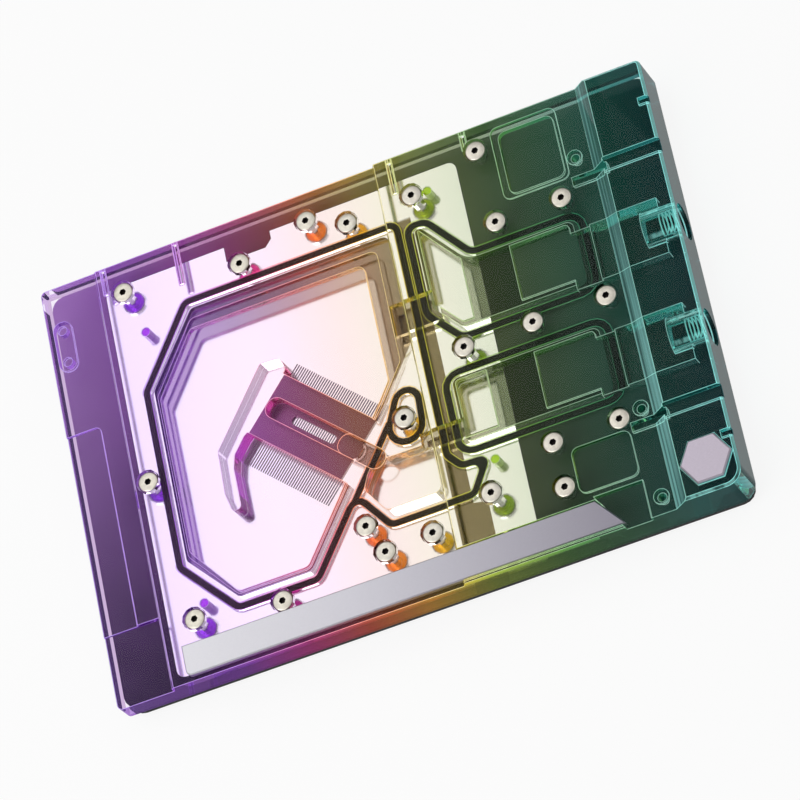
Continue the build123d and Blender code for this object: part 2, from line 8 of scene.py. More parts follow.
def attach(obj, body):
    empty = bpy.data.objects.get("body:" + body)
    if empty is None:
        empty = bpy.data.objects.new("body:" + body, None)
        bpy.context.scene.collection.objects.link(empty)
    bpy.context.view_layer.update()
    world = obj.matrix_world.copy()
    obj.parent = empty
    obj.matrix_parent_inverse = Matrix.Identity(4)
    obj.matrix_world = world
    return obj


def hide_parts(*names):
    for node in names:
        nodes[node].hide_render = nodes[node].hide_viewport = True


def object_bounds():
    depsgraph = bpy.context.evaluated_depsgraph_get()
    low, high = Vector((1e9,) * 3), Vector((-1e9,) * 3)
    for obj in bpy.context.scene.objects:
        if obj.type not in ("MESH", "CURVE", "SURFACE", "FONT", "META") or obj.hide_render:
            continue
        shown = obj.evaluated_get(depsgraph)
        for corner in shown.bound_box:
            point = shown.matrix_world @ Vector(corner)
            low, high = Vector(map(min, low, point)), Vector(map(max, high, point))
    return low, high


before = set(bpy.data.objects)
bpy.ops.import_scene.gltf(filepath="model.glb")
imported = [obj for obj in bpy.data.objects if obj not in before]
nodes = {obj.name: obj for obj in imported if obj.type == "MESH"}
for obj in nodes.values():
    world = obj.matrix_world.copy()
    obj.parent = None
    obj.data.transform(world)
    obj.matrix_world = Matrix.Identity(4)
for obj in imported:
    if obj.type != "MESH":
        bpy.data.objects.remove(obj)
cad_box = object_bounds()

# Lengths are in metres; the outline of the block in plan is that of the solids
MM = 0.001
TAIL = cad_box[0][0]
PORT_END = cad_box[1][0]
LOWER_EDGE = cad_box[0][1]
UPPER_EDGE = cad_box[1][1]


def srgb(red, green, blue):
    """Linear colour of an 8-bit screen colour."""
    def linear(value):
        value /= 255
        return value / 12.92 if value <= 0.04045 else ((value + 0.055) / 1.055) ** 2.4
    return linear(red), linear(green), linear(blue), 1.0


# Colours along the block from its tail to its ports, as fractions of the length
GLOW = (
    (0.00, srgb(120, 60, 190)),
    (0.20, srgb(150, 60, 200)),
    (0.31, srgb(215, 45, 150)),
    (0.40, srgb(235, 95, 60)),
    (0.50, srgb(240, 175, 40)),
    (0.60, srgb(165, 185, 45)),
    (0.72, srgb(80, 150, 50)),
    (0.86, srgb(40, 130, 100)),
    (1.00, srgb(70, 190, 190)),
)
# Painted light: the cover's clear tint follows its coloured light along the block
CLEAR = (
    (0.00, srgb(248, 240, 254)),
    (0.25, srgb(252, 246, 254)),
    (0.40, srgb(254, 248, 248)),
    (0.55, srgb(252, 251, 245)),
    (0.70, srgb(245, 247, 241)),
    (1.00, srgb(204, 236, 232)),
)
SHADE = (
    (0.10, srgb(114, 64, 154)),
    (0.28, srgb(88, 46, 102)),
    (0.38, srgb(110, 58, 76)),
    (0.48, srgb(146, 104, 72)),
    (0.56, srgb(128, 114, 70)),
    (0.70, srgb(74, 96, 56)),
    (1.00, srgb(56, 94, 90)),
)
# Painted shade: the satin trim strip grows darker towards the ports
TRIM = (
    (0.10, srgb(232, 231, 236)),
    (0.40, srgb(214, 212, 220)),
    (0.80, srgb(160, 156, 168)),
)
# Painted light: the cover's coloured light tints the steel of the jet plate along the block
JET = (
    (0.28, srgb(142, 80, 144)),
    (0.36, srgb(132, 78, 116)),
    (0.44, srgb(130, 86, 78)),
)
# Painted light: the cover's coloured light on the satin black frame, also shown on the cover's rim, walls and
# seals
BACKING_GLOW = (
    (0.00, srgb(176, 138, 194)),
    (0.12, srgb(138, 84, 164)),
    (0.30, srgb(128, 56, 104)),
    (0.42, srgb(136, 74, 46)),
    (0.52, srgb(122, 106, 50)),
    (0.62, srgb(94, 104, 60)),
    (0.72, srgb(74, 94, 62)),
    (0.80, srgb(60, 92, 70)),
    (0.88, srgb(46, 88, 78)),
    (0.91, srgb(10, 68, 60)),
    (1.00, srgb(6, 50, 56)),
)
# Painted light: the cover's coloured light tints the nickel plate along the block
PLATE = (
    (0.00, srgb(238, 230, 250)),
    (0.30, srgb(240, 233, 248)),
    (0.45, srgb(236, 226, 228)),
    (0.55, srgb(230, 226, 220)),
    (0.67, srgb(218, 221, 208)),
)

# Single colours
OLIVE = srgb(122, 108, 66)
# Painted shade of the cover's wall on the side of the ports
RIGHT_WALL_SHADE = srgb(6, 34, 40)
SLOPE_LIGHT = srgb(140, 205, 200)
# Painted shade on the walls of the screw holes
HOLE_WALL_SHADE = srgb(60, 52, 56)
# Painted shade between the fins of the cold plate
FIN_GAP_SHADE = srgb(150, 118, 142)
FIN_GAP_LIGHT = srgb(168, 146, 166)
# Painted shade that the frame's painted light dims to at its lower edge
DEEP_VIOLET = srgb(26, 10, 44)
FRAME_SIDES = srgb(22, 22, 25)
PALE_LIGHT = srgb(245, 245, 245)
STEEL_GRAIN = srgb(40, 38, 42)
SCREW_STEEL = srgb(232, 226, 212)
# Painted shade in the hexagon sockets of the screws
SOCKET_SHADE = srgb(46, 42, 40)
BRASS = srgb(205, 170, 95)
BADGE = srgb(214, 204, 218)
RUBBER = srgb(8, 5, 8)
BOARD_DARKER = srgb(215, 215, 210)
BOARD_LIGHTER = srgb(235, 235, 232)
CHIP = srgb(240, 235, 215)
FLOOR = srgb(240, 240, 240)
HORIZON = (0.25, 0.25, 0.26, 1)
WHITE = (1, 1, 1, 1)

# Tint that keeps the cover's faces from mirroring the lamps over what lies below
FAINT = (0.12, 0.12, 0.12, 1.0)

# Heights of the block above its feet
PLATE_TOP = 7.0 * MM
JET_TOP = PLATE_TOP + 0.8 * MM
UNDERSIDE_TOP = PLATE_TOP + 0.2 * MM
PLAIN_HOLE_FOOT = PLATE_TOP + 2.5 * MM
CHAMBER_WALL_FOOT = PLATE_TOP + 3.8 * MM
SHELF_LOW = 9.0 * MM
SHELF_HIGH = 11.6 * MM
CEILING = 13.3 * MM
CHAMBER_TOP = CEILING + 0.6 * MM
PORT_HEIGHT = 15.2 * MM
SLOPE_FOOT = 19.1 * MM

# Heights between which the painted shade of the fin gaps sets in at their foot and fades at their top
FIN_FOOT = (PLATE_TOP - 3.2 * MM, PLATE_TOP - 3.0 * MM)
FIN_TOP = (PLATE_TOP - 0.5 * MM, PLATE_TOP - 0.05 * MM)

# Distances inwards from the outline of the block
RIM_WIDTH = 1.3 * MM
WALL_DEPTH = 0.5 * MM
RIGHT_WALL_DEPTH = 0.3 * MM
LOWER_EDGE_GLOW = 30 * MM
BOX_MARGIN = 0.02 * MM

# Olive band on the cover's underside beside the step; pairs are the two ends of a soft limit
BAND_START = (14.3 * MM, 14.6 * MM)
BAND_WIDE_END = 26.5 * MM
BAND_END = 21.4 * MM
BAND_NARROWS = (-51.5 * MM, -50.5 * MM)
BAND_UPPER_LIMIT = (61 * MM, 60 * MM)

# Cross ways over the seals in plan, where the edges of the chambers stay dark
CROSS_WAY_X = (8.5 * MM, 26.5 * MM)
CROSS_WAYS_Y = ((16.0 * MM, 30.0 * MM), (-29.0 * MM, -20.0 * MM))

# Seal grooves, and the places of the two ports across the width
SEAL_GROOVE_DEPTH = 1.8 * MM
SEAL_GROOVE_PLAY = 0.15 * MM
UPPER_PORT_Y = 20.2 * MM
LOWER_PORT_Y = -20.4 * MM

# Reach round the middle of a screw or pin that belongs to its hole
SCREW_HOLE_REACH = 4.4 * MM
HEAD_SEAT_REACH = 4.7 * MM
PIN_HOLE_REACH = 2.0 * MM

# Screws
HEAD_SIDES = 36
HEAD_HEIGHT = 2.2 * MM
HEAD_LIFT = 0.05 * MM
CROWN_STEPS = 4
SOCKET_FLAT = 1.1 * MM
SOCKET_DEPTH = 1.3 * MM
RIB_RADIUS = 1.98 * MM
RIB_ROOT_RADIUS = 1.76 * MM
RIB_PITCH = 0.7 * MM
PLAIN_NECK = 0.5 * MM

# Thread rings in the ports
THREAD_RINGS = 5
THREAD_START = 1.6 * MM
THREAD_PITCH = 1.25 * MM
THREAD_RADIUS = 6.3 * MM
THREAD_THICKNESS = 0.24 * MM
THREAD_SIDES = 48
THREAD_TUBE_SIDES = 6

# Rods of light along the edges of the cover; they lie so many radii inside their edge
EDGE_ROD = 0.1 * MM
SEAL_ROD = 0.14 * MM
ROD_INSET = 1.8
SHARP_EDGE = math.radians(32)

# Small distances: air under the cover, points that count as one, level with a height
COVER_AIR = 0.06 * MM
SAME_POINT = 0.001 * MM
SAME_HEIGHT = 0.01 * MM

# Refractive index of acrylic, and the lower one of the outer walls
ACRYLIC_IOR = 1.49
OUTER_WALL_IOR = 1.12

# Textures: where most of a noise lies, depth of the fine and the rougher grain, an even grain
NOISE_RANGE = (0.3, 0.7)
FINE_GRAIN = 0.01 * MM
ROUGH_GRAIN = 0.03 * MM
EVEN = (1, 1, 1)


class Shader:
    """Short way to build one material out of nodes."""

    def __init__(self, name):
        self.material = bpy.data.materials.new(name)
        self.material.use_nodes = True
        self.tree = self.material.node_tree
        self.bsdf = self.tree.nodes["Principled BSDF"]
        self.output = self.tree.nodes["Material Output"]

    def node(self, kind, **values):
        made = self.tree.nodes.new(kind)
        for key, value in values.items():
            setattr(made, key, value)
        return made

    def link(self, start, end):
        self.tree.links.new(start, end)

    def feed(self, value, socket):
        """Set a socket to a constant, or link the output of another node to it."""
        if isinstance(value, (int, float, tuple)):
            socket.default_value = value
        else:
            self.link(value, socket)

    def surface(self, **values):
        """Feed sockets of the surface shader."""
        for key, value in values.items():
            self.feed(value, self.bsdf.inputs[key.replace("_", " ")])

    def show_instead(self, factor, other):
        """Show another shader in place of the surface shader, as far as the factor says."""
        mixed = self.node("ShaderNodeMixShader")
        self.link(factor, mixed.inputs[0])
        self.link(self.bsdf.outputs[0], mixed.inputs[1])
        self.link(other.outputs[0], mixed.inputs[2])
        self.link(mixed.outputs[0], self.output.inputs["Surface"])

    def place(self):
        """Surface point in the frame of the block, in metres."""
        return self.node("ShaderNodeTexCoord").outputs["Object"]

    def normal(self):
        """Direction that the surface faces."""
        return self.node("ShaderNodeNewGeometry").outputs["Normal"]

    def split(self, vector):
        """The three coordinates of a vector."""
        made = self.node("ShaderNodeSeparateXYZ")
        self.link(vector, made.inputs[0])
        return made.outputs["X"], made.outputs["Y"], made.outputs["Z"]

    def remap(self, value, low, high, to_low=0.0, to_high=1.0):
        made = self.node("ShaderNodeMapRange")
        self.link(value, made.inputs["Value"])
        made.inputs["From Min"].default_value = low
        made.inputs["From Max"].default_value = high
        made.inputs["To Min"].default_value = to_low
        made.inputs["To Max"].default_value = to_high
        return made.outputs["Result"]

    def ramp(self, value, stops):
        made = self.node("ShaderNodeValToRGB")
        points = made.color_ramp.elements
        points[0].position, points[0].color = stops[0]
        points[1].position, points[1].color = stops[-1]
        for position, color in stops[1:-1]:
            points.new(position).color = color
        self.link(value, made.inputs["Fac"])
        return made.outputs["Color"]

    def along(self, stops):
        """Colour that changes along the block's length."""
        x = self.split(self.place())[0]
        return self.ramp(self.remap(x, TAIL, PORT_END), stops)

    def maths(self, operation, first, second=None):
        made = self.node("ShaderNodeMath", operation=operation)
        self.feed(first, made.inputs[0])
        if second is not None:
            self.feed(second, made.inputs[1])
        return made.outputs[0]

    def product(self, first, *others):
        """All the values multiplied."""
        for other in others:
            first = self.maths("MULTIPLY", first, other)
        return first

    def opposite(self, value):
        """One less the value."""
        return self.maths("SUBTRACT", 1.0, value)

    def above(self, value, limit):
        return self.maths("GREATER_THAN", value, limit)

    def below(self, value, limit):
        return self.maths("LESS_THAN", value, limit)

    def within(self, margin):
        """One farther inwards than a margin from the block's outline, nothing nearer to it."""
        x, y, _ = self.split(self.place())
        inside_x = self.below(self.maths("ABSOLUTE", x), PORT_END - margin)
        inside_y = self.below(self.maths("ABSOLUTE", y), UPPER_EDGE - margin)
        return self.product(inside_x, inside_y)

    def mix(self, factor, first, second):
        """Blend of two colours."""
        made = self.node("ShaderNodeMix", data_type="RGBA")
        self.feed(factor, made.inputs["Factor"])
        self.feed(first, made.inputs[6])
        self.feed(second, made.inputs[7])
        return made.outputs[2]

    def noise(self, scale, detail=3.0, stretch=EVEN):
        mapping = self.node("ShaderNodeMapping")
        mapping.inputs["Scale"].default_value = stretch
        self.link(self.place(), mapping.inputs["Vector"])
        made = self.node("ShaderNodeTexNoise")
        made.inputs["Scale"].default_value = scale
        made.inputs["Detail"].default_value = detail
        self.link(mapping.outputs[0], made.inputs["Vector"])
        return made.outputs["Fac"]

    def roughness(self, grain, low, high):
        """Roughness that changes with a noise."""
        self.surface(Roughness=self.remap(grain, *NOISE_RANGE, low, high))

    def bump(self, height, distance, strength):
        made = self.node("ShaderNodeBump")
        made.inputs["Strength"].default_value = strength
        made.inputs["Distance"].default_value = distance
        self.link(height, made.inputs["Height"])
        self.link(made.outputs[0], self.bsdf.inputs["Normal"])

    def tilt(self):
        """One on level faces, nothing on faces that stand upright."""
        return self.maths("ABSOLUTE", self.split(self.normal())[2])

    def upright(self):
        """One on faces that stand upright, nothing on level faces."""
        return self.remap(self.tilt(), 0.25, 0.9, 1.0, 0.0)


def level_faces(s, wall):
    """Almost clear colour of the cover's level faces."""
    x, y, z = s.split(s.place())
    # Painted shade: shelves of the water chambers are darker than the faces round them
    shelf = s.product(s.above(z, SHELF_LOW), s.below(z, SHELF_HIGH), s.opposite(wall), 0.9)
    color = s.mix(shelf, s.along(CLEAR), s.along(SHADE))
    # The underside is olive beside the step, and takes the frame's painted light where it overhangs the frame
    underside = s.below(z, UNDERSIDE_TOP)
    band_end = s.remap(y, *BAND_NARROWS, BAND_WIDE_END, BAND_END)
    band = s.product(s.remap(x, *BAND_START), s.below(x, band_end))
    band = s.product(band, underside, s.remap(y, *BAND_UPPER_LIMIT), 0.95)
    rim = s.product(underside, s.opposite(s.within(RIM_WIDTH)))
    return s.mix(rim, s.mix(band, color, OLIVE), s.along(BACKING_GLOW))


def cut_walls(s, glow, inside):
    """Colour of the cover's upright walls: painted shade with glow inside the chambers, the frame's painted
    light with glow elsewhere.
    """
    z = s.split(s.place())[2]
    chamber = s.product(inside, s.below(z, CHAMBER_TOP))
    return s.mix(chamber, s.mix(0.5, s.along(BACKING_GLOW), glow), s.mix(0.4, s.along(SHADE), glow))


def light_in_cover(s, wall, glow):
    """Coloured light in the cut walls, and pale streaks along the slope up to the ports."""
    x, y, z = s.split(s.place())
    lower_edge = s.remap(y, LOWER_EDGE, LOWER_EDGE + LOWER_EDGE_GLOW, 0.2, 0.14)
    right_side = s.remap(x, 0.0, PORT_END, 1.0, 0.25)
    lit = s.product(wall, lower_edge, right_side)
    slope = s.product(s.remap(s.tilt(), 0.60, 0.66), s.remap(s.tilt(), 0.86, 0.80), s.above(z, SLOPE_FOOT))
    streaks = s.remap(s.noise(700.0, 1.0, (1, 0.01, 0.4)), 0.42, 0.62, 0.08, 0.5)
    s.surface(Emission_Color=s.mix(slope, glow, SLOPE_LIGHT),
              Emission_Strength=s.maths("ADD", lit, s.product(slope, streaks)))


def clear_acrylic():
    """Clear cover: level faces almost colourless, cut walls filled with coloured light."""
    s = Shader("clear_acrylic")
    wall = s.upright()
    glow = s.along(GLOW)
    inside = s.within(WALL_DEPTH)
    tinted = s.mix(wall, level_faces(s, wall), cut_walls(s, glow, inside))
    # Painted shade: the wall on the side of the ports is nearly black
    right_wall = s.above(s.split(s.place())[0], PORT_END - RIGHT_WALL_DEPTH)
    # The outer walls mirror less of the floor than plain acrylic would
    outer = s.product(wall, s.opposite(inside))
    s.surface(Base_Color=s.mix(right_wall, tinted, RIGHT_WALL_SHADE),
              IOR=s.remap(outer, 0.0, 1.0, ACRYLIC_IOR, OUTER_WALL_IOR),
              Transmission_Weight=1.0, Roughness=0.012, Specular_Tint=FAINT)
    light_in_cover(s, wall, glow)
    s.bump(s.noise(900.0), FINE_GRAIN, 0.08)
    # Light that falls through the cover to what lies below passes straight on
    passing = s.node("ShaderNodeBsdfTransparent")
    s.link(s.along(CLEAR), passing.inputs["Color"])
    path = s.node("ShaderNodeLightPath")
    s.show_instead(s.maths("MAXIMUM", path.outputs["Is Shadow Ray"], path.outputs["Is Diffuse Ray"]), passing)
    return s.material


def quiet_acrylic():
    """Clear cover inside the screw holes, where the walls take a painted shade instead of the glow."""
    s = Shader("quiet_acrylic")
    s.surface(Base_Color=s.mix(0.35, s.along(SHADE), HOLE_WALL_SHADE),
              Transmission_Weight=1.0, Roughness=0.05, IOR=ACRYLIC_IOR, Specular_Tint=FAINT)
    s.bump(s.noise(900.0), FINE_GRAIN, 0.08)
    return s.material


def nickel():
    """Bright nickel, with painted shade down between the fins and a faint painted glow on it."""
    s = Shader("nickel_plate")
    height = s.split(s.place())[2]
    # Painted shade between the fins, with a faint painted glow on it
    dark = s.product(s.remap(height, *FIN_TOP, 1.0, 0.0), s.remap(height, *FIN_FOOT), 0.9)
    s.surface(Base_Color=s.mix(dark, s.along(PLATE), FIN_GAP_SHADE), Metallic=1.0,
              Emission_Color=FIN_GAP_LIGHT, Emission_Strength=s.product(dark, 0.3))
    s.roughness(s.noise(260.0, 4.0), 0.13, 0.16)
    s.bump(s.noise(1500.0, 2.0, (1, 12, 1)), FINE_GRAIN, 0.3)
    return s.material


def dark_backing():
    """Satin black, with the light from the cover on its front; darker towards the lower edge."""
    s = Shader("dark_backing")
    front = s.remap(s.split(s.normal())[2], 0.2, 0.8)
    x, y, _ = s.split(s.place())
    # Painted shade: the frame's painted light dims to deep violet towards the lower edge, most near the tail
    lower = s.remap(y, LOWER_EDGE + 20 * MM, UPPER_EDGE, 0.92, 0.0)
    left = s.remap(x, TAIL + 30 * MM, TAIL + 60 * MM, 1.0, 0.35)
    cloud = s.remap(s.noise(30.0, 2.0), *NOISE_RANGE, -0.05, 0.05)
    depth = s.maths("ADD", s.product(lower, left), cloud)
    shaded = s.mix(depth, s.along(BACKING_GLOW), DEEP_VIOLET)
    s.surface(Base_Color=s.mix(front, FRAME_SIDES, shaded), Specular_IOR_Level=0.12)
    s.roughness(s.noise(160.0), 0.42, 0.55)
    return s.material


def edge_light(name, strength, pale):
    """Coloured light that leaves the cover along its cut edges."""
    s = Shader(name)
    streaks = s.remap(s.noise(220.0, 2.0), *NOISE_RANGE, 0.55, 1.0)
    color = s.mix(pale, s.along(GLOW), PALE_LIGHT)
    s.surface(Base_Color=color, Emission_Color=color, Emission_Strength=s.product(streaks, strength),
              Roughness=0.3)
    return s.material


def glow_lit_steel():
    """Screw shafts and pins, with the coloured light of the cover round them painted on as a glow."""
    s = Shader("glow_lit_steel")
    grain = s.noise(900.0, 4.0)
    glow = s.along(GLOW)
    s.surface(Base_Color=glow, Emission_Color=glow, Metallic=1.0,
              Emission_Strength=s.remap(grain, 0.35, 0.65, 0.25, 0.5))
    s.roughness(grain, 0.25, 0.4)
    s.bump(grain, FINE_GRAIN, 0.4)
    return s.material


def steel(name, color, low, high, stretch=(1, 14, 1)):
    """Metal in one colour or in colours along the block, with its lowest and highest roughness."""
    s = Shader(name)
    grain = s.noise(900.0, 4.0, stretch)
    tone = s.along(color) if isinstance(color[0], tuple) else color
    s.surface(Base_Color=s.mix(s.remap(grain, 0.35, 0.65, 0.0, 0.12), tone, STEEL_GRAIN), Metallic=1.0)
    s.roughness(grain, low, high)
    s.bump(grain, FINE_GRAIN, 0.05)
    return s.material


def rubber():
    """Nearly black seal with a trace of the light round it."""
    s = Shader("seal_rubber")
    s.surface(Base_Color=s.mix(0.14, RUBBER, s.along(BACKING_GLOW)), Specular_IOR_Level=0.1)
    s.roughness(s.noise(1200.0), 0.45, 0.6)
    s.bump(s.noise(3000.0), ROUGH_GRAIN, 0.3)
    return s.material


def board_white():
    """White lacquer of the light board."""
    s = Shader("light_board")
    s.surface(Base_Color=s.mix(s.noise(500.0), BOARD_DARKER, BOARD_LIGHTER), Roughness=0.5)
    return s.material


def light_chip():
    """Small light, lit in the colour of its place."""
    s = Shader("light_chip")
    glow = s.along(GLOW)
    s.surface(Base_Color=s.mix(0.4, CHIP, glow), Emission_Color=glow, Roughness=0.3, Emission_Strength=1.0)
    s.bump(s.noise(900.0), ROUGH_GRAIN, 0.2)
    return s.material


def dress(name, material):
    """Give a carried-over solid its finish."""
    mesh = nodes[name].data
    mesh.materials.clear()
    mesh.materials.append(material)


def copied(name, new_name):
    """A mesh of its own with the form of one solid, which it then stands for."""
    mesh = nodes[name].data.copy()
    piece = bpy.data.objects.new(new_name, mesh)
    bpy.context.scene.collection.objects.link(piece)
    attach(piece, "root")
    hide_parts(name)
    return piece


def new_piece(name, mesh, material):
    """An added piece of the block that rides with the rest."""
    piece = bpy.data.objects.new(name, mesh)
    bpy.context.scene.collection.objects.link(piece)
    mesh.materials.append(material)
    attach(piece, "root")
    return piece


def finished(mesh, name):
    """Mesh data of its own name out of the mesh that was built."""
    data = bpy.data.meshes.new(name)
    mesh.to_mesh(data)
    mesh.free()
    return data


def merged(data):
    """A mesh to work on, with the points that lie in one place joined."""
    mesh = bmesh.new()
    mesh.from_mesh(data)
    bmesh.ops.remove_doubles(mesh, verts=mesh.verts, dist=SAME_POINT)
    return mesh


def join_rings(mesh, ring, above):
    """Faces between two rings of vertices."""
    faces = []
    for step in range(len(ring)):
        after = (step + 1) % len(ring)
        faces.append(mesh.faces.new((ring[step], ring[after], above[after], above[step])))
    return faces


def solid_places(name):
    """Centre in plan, lowest and highest point of each solid of one node."""
    mesh = merged(nodes[name].data)
    places, seen = [], set()
    for start in mesh.verts:
        if start in seen:
            continue
        stack, group = [start], []
        seen.add(start)
        while stack:
            vertex = stack.pop()
            group.append(vertex.co.copy())
            for edge in vertex.link_edges:
                other = edge.other_vert(vertex)
                if other not in seen:
                    seen.add(other)
                    stack.append(other)
        low = [min(point[axis] for point in group) for axis in range(3)]
        high = [max(point[axis] for point in group) for axis in range(3)]
        places.append(((low[0] + high[0]) / 2, (low[1] + high[1]) / 2, low[2], high[2]))
    mesh.free()
    return places


SCREWS = solid_places("cover_screws")
PINS = solid_places("locating_pins")


def near(places, point, reach):
    """Whether a point lies near one of the places in plan."""
    return any(math.hypot(point.x - x, point.y - y) < reach for x, y, _, _ in places)


def make_cover():
    """Clear cover, with a hair of air between its faces and the plates that they rest on."""
    piece = copied("acrylic_top", "clear_cover")
    for vertex in piece.data.vertices:
        if any(abs(vertex.co.z - height) < SAME_HEIGHT for height in (PLATE_TOP, JET_TOP)):
            vertex.co.z += COVER_AIR
    piece.data.materials.clear()
    piece.data.materials.append(clear_acrylic())
    piece.data.materials.append(quiet_acrylic())
    piece.data.materials.append(edge_light("pin_light", 0.45, 0.1))
    # The walls of the screw holes and head seats take the clear finish with painted shade, those of the pins
    # glow
    for face in piece.data.polygons:
        if abs(face.normal.z) > 0.5:
            continue
        if near(SCREWS, face.center, SCREW_HOLE_REACH) and face.center.z > PLAIN_HOLE_FOOT:
            face.material_index = 1
        elif near(PINS, face.center, PIN_HOLE_REACH):
            face.material_index = 2
    return piece


def edge_lines(name, wanted, radius, material):
    """Fine rods just inside the sharp edges of the clear cover."""
    source = merged(cover.data)
    rods = bmesh.new()
    for edge in source.edges:
        if len(edge.link_faces) != 2 or edge.calc_face_angle(0.0) < SHARP_EDGE:
            continue
        start, end = (vertex.co for vertex in edge.verts)
        middle = (start + end) / 2
        if near(SCREWS, middle, HEAD_SEAT_REACH) or not wanted(middle):
            continue
        inward = -(edge.link_faces[0].normal + edge.link_faces[1].normal).normalized()
        aside = (end - start).normalized().cross(inward)
        centre = inward * radius * ROD_INSET
        rings = []
        for spot in (start, end):
            corners = (inward, aside, -inward, -aside)
            rings.append([rods.verts.new(spot + centre + corner * radius) for corner in corners])
        join_rings(rods, *rings)
        rods.faces.new(list(reversed(rings[0])))
        rods.faces.new(rings[1])
    # A rod that ends on an outer face keeps inside it
    for vertex in rods.verts:
        for axis in range(3):
            low, high = cad_box[0][axis] + BOX_MARGIN, cad_box[1][axis] - BOX_MARGIN
            vertex.co[axis] = min(max(vertex.co[axis], low), high)
    source.free()
    new_piece(name, finished(rods, name), material)


def on_top(point):
    """Edges of the outer form: rim, steps, pockets and grooves."""
    return point.z > CHAMBER_TOP


def in_chamber(point):
    """Edges of the water chambers' walls; the cross ways over the seals stay dark."""
    inside = abs(point.x) < PORT_END - WALL_DEPTH and abs(point.y) < UPPER_EDGE - WALL_DEPTH
    left, right = CROSS_WAY_X
    crossing = left < point.x < right and any(low < point.y < high for low, high in CROSS_WAYS_Y)
    return inside and not crossing and CHAMBER_WALL_FOOT < point.z <= CHAMBER_TOP


def at_seal(point):
    """Upper edges of the grooves that the seals lie in."""
    return abs(point.z - PLATE_TOP - SEAL_GROOVE_DEPTH) < SEAL_GROOVE_PLAY


def port_thread(name, y, material):
    """Rings of the thread inside a side port."""
    mesh = bmesh.new()
    for number in range(THREAD_RINGS):
        x = PORT_END - THREAD_START - THREAD_PITCH * number
        grid = []
        for step in range(THREAD_SIDES):
            angle = 2 * math.pi * step / THREAD_SIDES
            row = []
            for side in range(THREAD_TUBE_SIDES):
                turn = 2 * math.pi * side / THREAD_TUBE_SIDES
                reach = THREAD_RADIUS + THREAD_THICKNESS * math.cos(turn)
                row.append(mesh.verts.new((x + THREAD_THICKNESS * math.sin(turn), y + reach * math.cos(angle),
                                           PORT_HEIGHT + reach * math.sin(angle))))
            grid.append(row)
        for row, after in zip(grid, grid[1:] + grid[:1]):
            join_rings(mesh, after, row)
    new_piece(name, finished(mesh, name), material)


def screw_profile(low, high):
    """Radii and heights of shaft, head and socket; the socket is six-sided and has no radius."""
    seat = high - HEAD_HEIGHT
    shaft = []
    height = low
    while height < seat - PLAIN_NECK:
        shaft += [(RIB_RADIUS, height), (RIB_ROOT_RADIUS, height + RIB_PITCH / 2)]
        height += RIB_PITCH
    seat += HEAD_LIFT
    head = [(RIB_RADIUS, seat), (3.7 * MM, seat), (3.8 * MM, seat + 0.15 * MM), (3.8 * MM, seat + 1.3 * MM),
            (3.72 * MM, seat + 1.75 * MM), (3.5 * MM, seat + 2.0 * MM), (3.15 * MM, high - 0.04 * MM),
            (1.75 * MM, high)]
    socket = [(None, high), (None, high - SOCKET_DEPTH)]
    return shaft, head, socket


def turned_screw(mesh, x, y, low, high):
    """Round head with a soft crown and a hexagon socket, on a ribbed shaft."""
    shaft, head, socket = screw_profile(low, high)
    rings = []
    for radius, height in shaft + head + socket:
        ring = []
        for step in range(HEAD_SIDES):
            angle = 2 * math.pi * step / HEAD_SIDES
            reach = radius
            if radius is None:
                reach = SOCKET_FLAT / math.cos(angle % (math.pi / 3) - math.pi / 6)
            ring.append(mesh.verts.new((x + reach * math.cos(angle), y + reach * math.sin(angle), height)))
        rings.append(ring)
    mesh.faces.new(list(reversed(rings[0])))
    mesh.faces.new(rings[-1]).material_index = 2
    head_start = len(shaft) + 1
    crown_end = len(shaft) + len(head) - 1
    for number, (ring, above) in enumerate(zip(rings, rings[1:])):
        for face in join_rings(mesh, ring, above):
            face.smooth = crown_end - CROWN_STEPS <= number < crown_end
            face.material_index = 1 if number < head_start else 2 if number > crown_end else 0


def make_screws():
    """All screws as one piece: bright heads, shafts with the cover's light painted on, and sockets in painted
    shade.
    """
    mesh = bmesh.new()
    for place in SCREWS:
        turned_screw(mesh, *place)
    data = finished(mesh, "turned_screws")
    bright = steel("screw_steel", SCREW_STEEL, 0.3, 0.42, EVEN)
    piece = new_piece("turned_screws", data, bright)
    data.materials.append(glow_lit_steel())
    data.materials.append(steel("socket_shade", SOCKET_SHADE, 0.4, 0.5, EVEN))
    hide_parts("cover_screws")


cover = make_cover()
edge_lines("edge_light", on_top, EDGE_ROD, edge_light("edge_light", 0.8, 0.25))
edge_lines("chamber_light", in_chamber, EDGE_ROD, edge_light("chamber_light", 0.6, 0.3))
edge_lines("seal_light", at_seal, SEAL_ROD, edge_light("seal_light", 0.5, 0.0))
thread_light = edge_light("thread_light", 0.5, 0.25)
port_thread("upper_port_thread", UPPER_PORT_Y, thread_light)
port_thread("lower_port_thread", LOWER_PORT_Y, thread_light)
make_screws()

dress("cold_plate", nickel())
dress("rear_frame", dark_backing())
dress("jet_plate", steel("jet_steel", JET, 0.3, 0.42))
seal = rubber()
for name in ("main_gasket", "upper_channel_gasket", "lower_channel_gasket"):
    dress(name, seal)
dress("locating_pins", bpy.data.materials["glow_lit_steel"])
dress("board_standoffs", steel("standoff_brass", BRASS, 0.22, 0.35))
dress("trim_strip", steel("trim_satin", TRIM, 0.34, 0.46, (1, 40, 1)))
dress("hex_badge", steel("badge_satin", BADGE, 0.34, 0.46))
dress("light_board", board_white())
dress("light_chips", light_chip())

# Studio: pale floor that keeps the shadow, soft lights, sky that brightens upwards
FLOOR_SIZE = 6.0
FLOOR_LIGHT = 0.88
SKY_STRENGTH = 0.5
SKY_FULL_HEIGHT = 0.75
MIRROR_AIM = (-0.105, 0.0, 0.01)

